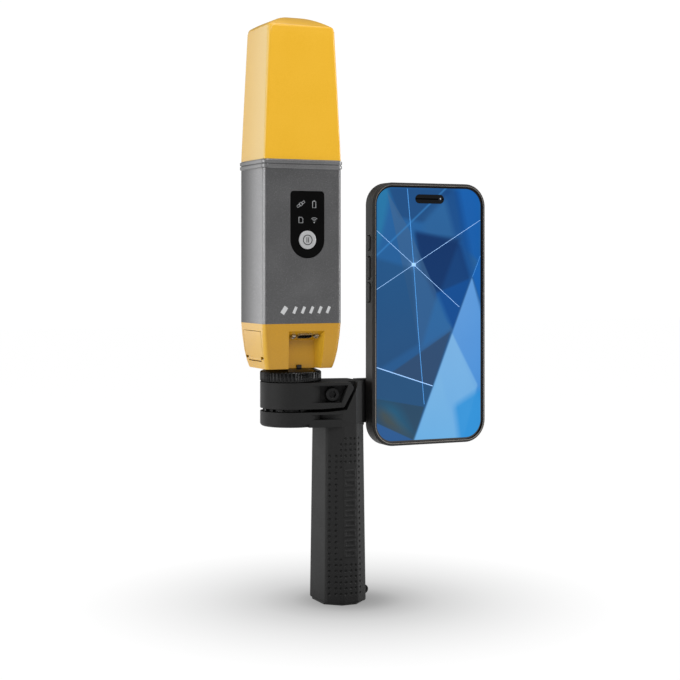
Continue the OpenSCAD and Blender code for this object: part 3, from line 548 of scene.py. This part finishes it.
def grip():
    """Octagonal grip with rounded corners, rows of small dimples and a raised ladder on the front flat."""
    z_a, z_b = 1.05, Z_HEAD0 + 1.2
    rows = 420
    rads = (3.0, 3.2, 3.2, 4.0, 4.0, 3.2, 3.2, 4.0)

    def corners(s):
        a, b, c, d = s
        return [(-a, -d), (-c + 0.8, -b), (c + 0.8, -b), (a, -d), (a, d), (c, b), (-c, b), (-a, d)]

    def outline(t):
        s = [FOOT[i] + (NECK[i] - FOOT[i]) * t for i in range(4)]
        return corners(s)

    # the same fractions of every side on every row, denser where the dimples are
    def ring(t, counts):
        c = outline(t)
        pts, side, along, nrm = [], [], [], []
        m = 8
        tan = []
        for i in range(m):
            p0, p1, p2 = np.array(c[i - 1]), np.array(c[i]), np.array(c[(i + 1) % m])
            u, w = (p0 - p1) / np.linalg.norm(p0 - p1), (p2 - p1) / np.linalg.norm(p2 - p1)
            half = math.acos(max(-1, min(1, float(u @ w)))) / 2
            cut = rads[i] / math.tan(half)
            centre = p1 + (u + w) / np.linalg.norm(u + w) * rads[i] / math.sin(half)
            tan.append((p1 + u * cut, p1 + w * cut, centre))
        for i in range(m):
            a, b, centre = tan[i]
            va, vb = a - centre, b - centre
            a0, a1 = math.atan2(va[1], va[0]), math.atan2(vb[1], vb[0])
            while a1 < a0:
                a1 += 2 * math.pi
            if a1 - a0 > math.pi:
                a1 -= 2 * math.pi
            for k in range(8):
                q = a0 + (a1 - a0) * k / 8
                pts.append(centre + rads[i] * np.array([math.cos(q), math.sin(q)]))
                nrm.append((math.cos(q), math.sin(q)))
                side.append(-1)
                along.append(0.0)
            nxt = tan[(i + 1) % m][0]
            length = np.linalg.norm(nxt - b)
            d = (nxt - b) / length
            nn = np.array([d[1], -d[0]])
            mid = (np.array(c[i]) + np.array(c[(i + 1) % m])) / 2
            for k in range(counts[i]):
                p = b + d * length * k / counts[i]
                pts.append(p)
                nrm.append((nn[0], nn[1]))
                side.append(i)
                along.append(float((p - mid) @ d))
        return np.array(pts), np.array(nrm), np.array(side), np.array(along)

    c0 = outline(0)
    counts = []
    for i in range(8):
        L = math.dist(c0[i], c0[(i + 1) % 8])
        counts.append(max(6, int(L / (0.30 if i in (0, 1, 2, 4, 5, 6) else 0.9))))
    zs = np.linspace(z_a, z_b, rows)
    rings, depth_all = [], []
    pitch = 3.5
    zrow = np.array([6.8 + pitch * k for k in range(28)])          # dimple rows from the foot up
    for z in zs:
        t = (z - 1.05) / (Z_HEAD0 + 2 - 1.05)
        p, nn, side, al = ring(t, counts)
        dz = z - zrow
        k = int(np.argmin(np.abs(dz)))
        dzz = abs(dz[k])
        depth = np.zeros(len(p))
        if dzz < 1.0:
            for s, cols in ((0, (-3.2, 0.95, 4.05)), (1, (-3.1, 0.3, 3.6)), (2, (-2.6,)), (4, (-3.9, 0.55, 3.6)), (5, (-3.2, 0.0, 3.2)), (6, (-3.9, -0.55, 3.6))):
                for ci, cc in enumerate(cols):
                    zz = zrow[k]
                    if s in (1, 5) and 24.6 < zz < 86.5:
                        continue
                    if s in (0, 4) and ci == (2 if s == 0 else 0) and (27.9 < zz < 83.5 or zz > 99):
                        continue
                    if s == 0 and ci < 2 and zz > 91.5:
                        continue
                    if zz > 101.5:
                        continue
                    q = side == s
                    rr2 = (al[q] - cc) ** 2 + dzz ** 2
                    R = 0.86
                    d = 0.75 * np.clip(1 - rr2 / (R * R), 0, 1) ** 0.55
                    rim = np.where((rr2 >= R * R) & (rr2 < (R + 0.35) ** 2), -0.05, 0.0)
                    depth[q] += d + rim
        # raised ladder of plain bars on the front flat
        if 28.5 < z < 83.4:
            for s in (1,):
                q = side == s
                phase = (z - 28.5) % 6.1
                inside = 0.5 < phase < 5.2
                x = np.abs(al[q] + 0.4)
                if inside:
                    edge = np.clip(np.minimum(np.minimum(phase - 0.5, 5.2 - phase), 4.0 - x) / 0.35, 0, 1)
                    hollow = np.clip(np.minimum(np.minimum(phase - 1.7, 4.0 - phase), 2.8 - x) / 0.3, 0, 1)
                    depth[q] -= 0.6 * edge - 0.6 * hollow * edge
        if z < 2.2:
            depth += 0.5 * (1 - math.sqrt(max(0, 1 - ((2.2 - z) / 1.15) ** 2)))
        pp = p - nn * depth[:, None]
        rings.append(np.c_[pp, np.full(len(p), z)])
    v, f = loft(rings)
    return new_object("grip_shell", scaled(v), f, "nylon", "handle", sharp=70)


grip()

# ------------------------------------------------------------------ phone arm and mount
cad_piece("phone_arm", "nylon", "handle", bevel=0.8, seg=3)
cad_piece("arm_screws", "screw", "handle", bevel=0.3)
cad_piece("mount_plate", "alu", "handle", bevel=0.4)

# ------------------------------------------------------------------ phone
cad_piece("phone_case", "case", "phone", bevel=0.35, seg=3, angle=25)
cad_piece("camera_module", "phone_metal", "phone", bevel=0.8, seg=3)
cad_piece("camera_lenses", "lens", "phone", bevel=0.35)
cad_piece("back_glass", "bezel", "phone", bevel=0.2)
for key, body in (("action_button", "action"), ("volume_up_button", "volume_up"), ("volume_down_button", "volume_down"), ("side_button", "side")):
    cad_piece(key, "case", body, bevel=0.3, seg=2)


def plate(name, w, h, r, y0, y1, mat, hole=None, reps=(), n=14):
    """A rounded plate standing in the X-Z plane, with an optional rounded hole."""
    o = rr(w, h, r, n)
    a = np.c_[o[:, 0] + PCX, np.full(len(o), y0), o[:, 1] + PCZ]
    b = np.c_[o[:, 0] + PCX, np.full(len(o), y1), o[:, 1] + PCZ]
    if hole:
        i = rr(hole[0], hole[1], hole[2], n)
        c = np.c_[i[:, 0] + PCX, np.full(len(i), y1), i[:, 1] + PCZ]
        d = np.c_[i[:, 0] + PCX, np.full(len(i), y0), i[:, 1] + PCZ]
        v = np.vstack([a, b, c, d])
        m, f = len(o), []
        for k in range(4):
            s, t = k * m, ((k + 1) % 4) * m
            f += [(s + q, s + (q + 1) % m, t + (q + 1) % m, t + q) for q in range(m)]
    else:
        v, f = loft([a, b])
    ob = new_object(name, scaled(v), f, mat, "phone", reps, sharp=40)
    return ob


plate("screen_bezel", 76.6, 160.6, 12.2, -10.6, -9.9, "bezel", hole=(74.0, 158.0, 11.0), reps=("front_glass",))
plate("case_rim_line", 77.1, 161.1, 12.4, -12.05, -11.2, "case_edge", hole=(76.5, 160.5, 12.1))


def wallpaper():
    """A made-up pattern of blue facets, as vertex colours on a fine grid, lit from within."""
    W, H, R = 74.2, 158.2, 11.1
    nx, nz = 150, 320
    us, vs = np.linspace(0, 1, nx), np.linspace(0, 1, nz)
    U, V = np.meshgrid(us, vs)                     # V runs down
    X, Z = (U - 0.5) * W, (0.5 - V) * H
    # squeeze the border points onto the rounded corners
    cx, cz = W / 2 - R, H / 2 - R
    ax, az = np.abs(X) - cx, np.abs(Z) - cz
    corner = (ax > 0) & (az > 0)
    dist = np.hypot(ax, az)
    m = np.maximum(ax, az)
    k = np.where(corner & (dist > 1e-6), m / np.maximum(dist, 1e-6), 1.0)
    X2 = np.where(corner, np.sign(X) * (cx + ax * k), X)
    Z2 = np.where(corner, np.sign(Z) * (cz + az * k), Z)
    U2, V2 = X2 / W + 0.5, 0.5 - Z2 / H

    col = np.zeros(U.shape + (3,))

    def tone(r, g, b):
        return np.array([lin(r), lin(g), lin(b)])

    g = V2[..., None]
    col[:] = tone(36, 104, 168) * (1 - g) + tone(30, 84, 134) * g
    soft = lambda x, w: np.clip(x / w + 0.5, 0, 1)

    def facet(poly, c0, c1, alpha, blur=0.003, way=(0, 1)):
        """Convex polygon in screen fractions, shaded from c0 to c1 along way."""
        inside = np.ones(U.shape)
        n = len(poly)
        area = sum(poly[i][0] * poly[(i + 1) % n][1] - poly[(i + 1) % n][0] * poly[i][1] for i in range(n))
        sg = 1 if area > 0 else -1
        for i in range(n):
            (x0, y0), (x1, y1) = poly[i], poly[(i + 1) % n]
            dx, dy = (x1 - x0), (y1 - y0)
            L = math.hypot(dx, dy * 2.13)
            dd = sg * (dx * (V2 - y0) - dy * (U2 - x0)) / max(L, 1e-6)
            inside = inside * soft(dd, blur)
        w = np.clip((U2 * way[0] + V2 * way[1]), 0, 1)[..., None]
        c = tone(*c0) * (1 - w) + tone(*c1) * w
        a = (inside * alpha)[..., None]
        col[:] = col * (1 - a) + c * a

    facet([(0.0, 0.0), (0.14, 0.0), (0.05, 0.2), (0.0, 0.26)], (36, 128, 176), (40, 110, 150), 0.8, 0.03)
    facet([(0.10, 0.0), (0.74, 0.0), (0.45, 0.14), (0.22, 0.12)], (22, 70, 122), (36, 84, 132), 0.75, 0.02)
    facet([(0.45, 0.12), (0.72, 0.02), (0.80, 0.21), (0.44, 0.19)], (44, 104, 160), (40, 92, 146), 0.7, 0.04)
    facet([(0.74, 0.0), (1.0, 0.0), (1.0, 0.30), (0.84, 0.24)], (4, 98, 182), (2, 84, 160), 0.85, 0.02)
    facet([(0.62, 0.0), (0.78, 0.0), (0.95, 0.36), (0.86, 0.36)], (0, 66, 132), (0, 96, 176), 0.7, 0.03)
    facet([(0.36, 0.17), (0.80, 0.22), (0.90, 0.36), (0.73, 0.57), (0.50, 0.40)], (0, 50, 108), (0, 70, 136), 0.85, 0.02)
    facet([(0.36, 0.18), (0.80, 0.20), (0.60, 0.42), (0.42, 0.34)], (0, 44, 98), (0, 54, 110), 0.8, 0.02)
    facet([(0.10, 0.02), (0.30, 0.16), (0.73, 0.57), (0.42, 0.66)], (70, 108, 146), (36, 92, 148), 0.55)
    facet([(0.0, 0.28), (0.34, 0.32), (0.40, 0.62), (0.0, 0.72)], (34, 84, 130), (22, 66, 108), 0.6, 0.02)
    facet([(0.56, 0.42), (0.90, 0.36), (0.73, 0.56), (0.66, 0.53)], (0, 84, 158), (0, 72, 146), 0.9, 0.01)
    facet([(0.58, 0.42), (0.72, 0.56), (0.42, 0.64)], (44, 116, 178), (38, 104, 166), 0.65, 0.02)
    facet([(0.14, 0.73), (0.71, 0.57), (0.53, 0.79)], (48, 80, 116), (42, 70, 104), 0.85, 0.006)
    facet([(0.0, 0.71), (0.53, 0.79), (0.45, 0.87), (0.0, 0.83)], (24, 76, 118), (34, 82, 124), 0.8)
    facet([(0.0, 0.83), (0.45, 0.87), (0.35, 1.0), (0.0, 0.93)], (14, 58, 88), (40, 74, 98), 0.92)
    facet([(0.02, 0.845), (0.2, 0.86), (0.34, 0.985), (0.16, 0.95)], (12, 104, 140), (26, 96, 130), 0.75, 0.05)
    facet([(0.0, 0.87), (0.1, 0.875), (0.32, 0.99), (0.06, 0.935)], (92, 92, 66), (74, 78, 66), 0.7, 0.04)
    facet([(0.0, 0.925), (0.35, 1.0), (0.0, 1.0)], (52, 100, 160), (40, 92, 150), 0.95)
    facet([(0.92, 0.35), (1.0, 0.26), (1.0, 0.46)], (6, 106, 196), (10, 100, 190), 0.8, 0.01)
    facet([(0.915, 0.36), (1.02, 0.54), (1.02, 1.02), (0.34, 1.02)], (128, 180, 232), (88, 162, 228), 1.0, 0.004)
    facet([(0.915, 0.36), (1.02, 0.50), (1.02, 0.88), (0.72, 0.58)], (128, 178, 230), (66, 146, 224), 0.8, 0.01, (0.4, 0.7))
    facet([(0.72, 0.58), (0.97, 0.79), (0.82, 1.02), (0.34, 1.02)], (156, 202, 240), (120, 188, 238), 0.7, 0.008)
    facet([(0.60, 0.74), (0.78, 1.02), (0.34, 1.02)], (168, 206, 238), (112, 184, 236), 0.6, 0.02)
    facet([(0.74, 0.87), (1.02, 0.80), (1.02, 1.02), (0.79, 1.02)], (40, 156, 228), (30, 150, 224), 0.85, 0.03)
    # one blurred pale streak
    s = np.abs((U2 - 0.0) * 0.27 + (V2 - 0.27) * 0.66) / math.hypot(0.27, 0.66)
    a = np.clip(1 - s / 0.006, 0, 1)[..., None] * 0.75
    col[:] = col * (1 - a) + tone(58, 140, 210) * a
    glow = np.clip(1 - np.hypot((U2 - 0.35), (V2 - 0.305) * 2.13) / 0.08, 0, 1)[..., None] ** 2 * 0.25
    col[:] = col * (1 - glow) + tone(150, 190, 230) * glow

    y = -10.52
    verts = np.c_[(X2 + PCX).ravel(), np.full(X2.size, y), (Z2 + PCZ).ravel()]
    faces = []
    for r in range(nz - 1):
        for c in range(nx - 1):
            i = r * nx + c
            faces.append((i, i + nx, i + nx + 1, i + 1))
    # close it as a thin plate
    n0 = len(verts)
    back = verts.copy()
    back[:, 1] = -9.0
    loop = [c for c in range(nx)] + [r * nx + nx - 1 for r in range(1, nz)] + [(nz - 1) * nx + c for c in range(nx - 2, -1, -1)] + [r * nx for r in range(nz - 2, 0, -1)]
    bl = {idx: n0 + k for k, idx in enumerate(loop)}
    allv = np.vstack([verts, back[loop]])
    for k in range(len(loop)):
        a_, b_ = loop[k], loop[(k + 1) % len(loop)]
        faces.append((a_, b_, bl[b_], bl[a_]))
    faces.append(tuple(bl[i] for i in reversed(loop)))
    me = bpy.data.meshes.new("screen_picture")
    me.from_pydata(scaled(allv), [], [tuple(int(q) for q in f) for f in faces])
    ca = me.color_attributes.new("tone", "FLOAT_COLOR", "POINT")
    full = np.zeros((len(allv), 4), np.float32)
    full[:n0, :3] = col.reshape(-1, 3)
    full[:, 3] = 1
    ca.data.foreach_set("color", full.ravel())
    bm = bmesh.new()
    bm.from_mesh(me)
    bmesh.ops.recalc_face_normals(bm, faces=bm.faces)
    finish_bm(bm, me, True, 30)
    mat = bpy.data.materials.new("screen_glow")
    mat.use_nodes = True
    nt = mat.node_tree
    p = nt.nodes["Principled BSDF"]
    at = nt.nodes.new("ShaderNodeAttribute")
    at.attribute_name = "tone"
    tc = nt.nodes.new("ShaderNodeTexCoord")
    no = nt.nodes.new("ShaderNodeTexNoise")
    no.inputs["Scale"].default_value = 45
    nt.links.new(tc.outputs["Object"], no.inputs["Vector"])
    mx = nt.nodes.new("ShaderNodeMix")
    mx.data_type = "RGBA"
    mx.blend_type = "MULTIPLY"
    mp = nt.nodes.new("ShaderNodeMapRange")
    mp.inputs["To Min"].default_value = 0.0
    mp.inputs["To Max"].default_value = 0.22
    nt.links.new(no.outputs["Fac"], mp.inputs["Value"])
    nt.links.new(mp.outputs["Result"], mx.inputs[0])
    nt.links.new(at.outputs["Color"], mx.inputs[6])
    mx.inputs[7].default_value = (0.5, 0.6, 0.75, 1)
    p.inputs["Base Color"].default_value = (0.008, 0.010, 0.014, 1)
    nt.links.new(mx.outputs[2], p.inputs["Emission Color"])
    p.inputs["Emission Strength"].default_value = 0.92
    p.inputs["Roughness"].default_value = 0.12
    p.inputs["Specular IOR Level"].default_value = 0.08
    M["screen"] = mat
    return place("screen_picture", me, "screen", "phone", ("display_panel",))


wallpaper()


def glow_material(name, c, strength):
    m = material(name, c, tuple(min(1, x * 1.15) for x in c[:3]) + (1,), (0.2, 0.3), grain=800, bump=0.0)
    p = m.node_tree.nodes["Principled BSDF"]
    p.inputs["Emission Color"].default_value = c
    p.inputs["Emission Strength"].default_value = strength
    return m


M["line"] = glow_material("screen_line", rgb(140, 180, 226), 0.42)
M["line_dim"] = glow_material("screen_line_dim", rgb(66, 132, 196), 0.42)


def screen_lines():
    P = lambda u, v: (PCX + (u - 0.5) * 74.2, PCZ + (0.5 - v) * 158.2)
    y0, y1 = -10.60, -10.50
    N = (0.35, 0.305)
    thin = [ribbon([P(0.003, 0.172), P(*N)], 0.26, y0, y1), ribbon([P(0.003, 0.402), P(*N)], 0.26, y0, y1), ribbon([P(*N), P(0.997, 0.125)], 0.26, y0, y1),
            ribbon([P(*N), P(0.79, 0.475)], 0.26, y0, y1), ribbon([P(0.003, 0.708), P(0.53, 0.788)], 0.55, y0, y1)]
    c = P(*N)
    thin.append(ribbon([(c[0] - 1.4, c[1]), (c[0] + 1.4, c[1])], 2.2, y0 - 0.02, y1))
    v, f = join(thin)
    new_object("screen_lines", scaled(v), f, "line", "phone", sharp=30)
    v, f = join([ribbon([P(0.29, 0.004), P(0.32, 0.15), P(*N), P(0.39, 0.55), P(0.45, 0.86)], 0.42, y0 + 0.02, y1), ribbon([P(0.92, 0.355), P(0.997, 0.27)], 0.25, y0 + 0.02, y1)])
    new_object("screen_line_upright", scaled(v), f, "line_dim", "phone", sharp=30)


screen_lines()


def island():
    cx, cz = PCX + 0.2, PCZ + 79.1 - 7.0
    o = rr(20.4, 5.7, 2.84, 14)
    a = np.c_[o[:, 0] + cx, np.full(len(o), -10.66), o[:, 1] + cz]
    b = np.c_[o[:, 0] + cx, np.full(len(o), -10.45), o[:, 1] + cz]
    v, f = loft([a, b])
    new_object("camera_window", scaled(v), f, "bezel", "phone", sharp=40)
    v, f = join([disc(cx + 7.3, cz, 1.3, -10.74, -10.6, 32)])
    new_object("front_camera", scaled(v), f, "lens", "phone", sharp=40)
    # a small pale disc off the lens centre: a painted glint on the front camera, in the same pale material as the
    # printed icons
    v, f = join([disc(cx + 7.6, cz + 0.3, 0.5, -10.8, -10.7, 20)])
    new_object("front_camera_glint", scaled(v), f, "ink_dim_and_glint", "phone", sharp=40)
    o = rr(15.5, 1.1, 0.5, 8)
    a = np.c_[o[:, 0] + PCX, np.full(len(o), -10.75), o[:, 1] + PCZ + 79.75]
    b = np.c_[o[:, 0] + PCX, np.full(len(o), -10.4), o[:, 1] + PCZ + 79.75]
    v, f = loft([a, b])
    new_object("earpiece_slot", scaled(v), f, "black", "phone", sharp=40)


island()

# ------------------------------------------------------------------ floor, lights, camera
floor_me = bpy.data.meshes.new("floor")
bm = bmesh.new()
bmesh.ops.create_grid(bm, x_segments=2, y_segments=2, size=4.0)
bm.to_mesh(floor_me)
bm.free()
floor = bpy.data.objects.new("floor", floor_me)
floor.location = (0, 0, -0.0001)
bpy.context.scene.collection.objects.link(floor)
# the floor glows white and carries a painted shadow: a radial grey ramp around the grip's foot, darkest at the centre
# and white from 175 mm out, stands in for a cast shadow; only a faint diffuse part takes real light
fm = bpy.data.materials.new("pale_floor_painted_shadow")
fm.use_nodes = True
nt = fm.node_tree
n, l = nt.nodes, nt.links
n.clear()
out = n.new("ShaderNodeOutputMaterial")
geo = n.new("ShaderNodeTexCoord")
vl = n.new("ShaderNodeVectorMath")
vl.operation = "DISTANCE"
vl.inputs[1].default_value = (0.0055, -0.0025, 0.0)
l.new(geo.outputs["Object"], vl.inputs[0])
shadow_ramp = n.new("ShaderNodeValToRGB")
mr = n.new("ShaderNodeMapRange")
mr.inputs["From Max"].default_value = 0.175
l.new(vl.outputs["Value"], mr.inputs["Value"])
l.new(mr.outputs["Result"], shadow_ramp.inputs["Fac"])
cr = shadow_ramp.color_ramp
cr.interpolation = "B_SPLINE"
shadow_stops = [(0.0, 0.24), (0.12, 0.36), (0.2, 0.52), (0.32, 0.66), (0.5, 0.80), (0.7, 0.905), (0.88, 0.975), (1.0, 1.0)]
cr.elements[0].position, cr.elements[0].color = shadow_stops[0][0], (shadow_stops[0][1],) * 3 + (1,)
cr.elements[1].position, cr.elements[1].color = shadow_stops[-1][0], (1, 1, 1, 1)
for s, g in shadow_stops[1:-1]:
    e = cr.elements.new(s)
    e.color = (g, g, g, 1)
dif = n.new("ShaderNodeBsdfDiffuse")
dif.inputs["Color"].default_value = (0.02, 0.02, 0.02, 1)
em = n.new("ShaderNodeEmission")
l.new(shadow_ramp.outputs["Color"], em.inputs["Color"])
em.inputs["Strength"].default_value = 1.0
ad = n.new("ShaderNodeAddShader")
l.new(dif.outputs[0], ad.inputs[0])
l.new(em.outputs[0], ad.inputs[1])
l.new(ad.outputs[0], out.inputs["Surface"])
floor_me.materials.append(fm)

world = bpy.data.worlds.new("studio")
bpy.context.scene.world = world
world.use_nodes = True
wn, wl = world.node_tree.nodes, world.node_tree.links
bg = wn["Background"]
bg.inputs["Color"].default_value = (1, 1, 1, 1)
bg.inputs["Strength"].default_value = 1.02
bg2 = wn.new("ShaderNodeBackground")
bg2.inputs["Color"].default_value = (1, 1, 1, 1)
bg2.inputs["Strength"].default_value = 0.16
lp = wn.new("ShaderNodeLightPath")
ms = wn.new("ShaderNodeMixShader")
wl.new(lp.outputs["Is Camera Ray"], ms.inputs[0])
wl.new(bg2.outputs[0], ms.inputs[1])
wl.new(bg.outputs[0], ms.inputs[2])
wl.new(ms.outputs[0], wn["World Output"].inputs["Surface"])


def area(name, loc, target, size, power, color=(1, 1, 1)):
    d = bpy.data.lights.new(name, "AREA")
    d.shape = "RECTANGLE"
    d.size, d.size_y = size
    d.energy = power
    d.color = color
    o = bpy.data.objects.new(name, d)
    o.location = loc
    o.rotation_mode = "QUATERNION"
    o.rotation_quaternion = (Vector(target) - Vector(loc)).to_track_quat("-Z", "Y")
    o.visible_camera = False
    bpy.context.scene.collection.objects.link(o)
    return o


area("back_left_softbox", (-0.75, 1.15, 0.30), (0, 0, 0.2), (0.9, 1.3), 4.8)
area("left_softbox", (-1.15, -0.12, 0.35), (0, 0, 0.2), (0.7, 1.3), 8.0)
area("front_high", (-0.05, -1.1, 1.35), (0, 0, 0.2), (0.9, 0.7), 13.0)
area("right_strip", (0.95, -0.27, 0.28), (0, 0, 0.22), (0.16, 1.2), 8.0)
area("top_soft", (0.1, 0.1, 1.3), (0, 0, 0.2), (0.9, 0.9), 5.0)

cam_d = bpy.data.cameras.new("camera")
cam_d.lens = 80
cam_d.sensor_width = 36
cam_d.shift_y = -0.1112
cam_d.clip_start, cam_d.clip_end = 0.01, 20
cam = bpy.data.objects.new("camera", cam_d)
cam.location = (-0.39132, -0.85031, 0.2075)
cam.rotation_mode = "QUATERNION"
cam.rotation_quaternion = Vector((0.4195, 0.9078, 0)).to_track_quat("-Z", "Y")
bpy.context.scene.collection.objects.link(cam)
bpy.context.scene.camera = cam
bpy.context.scene.view_settings.view_transform = "Standard"
bpy.context.scene.view_settings.look = "None"
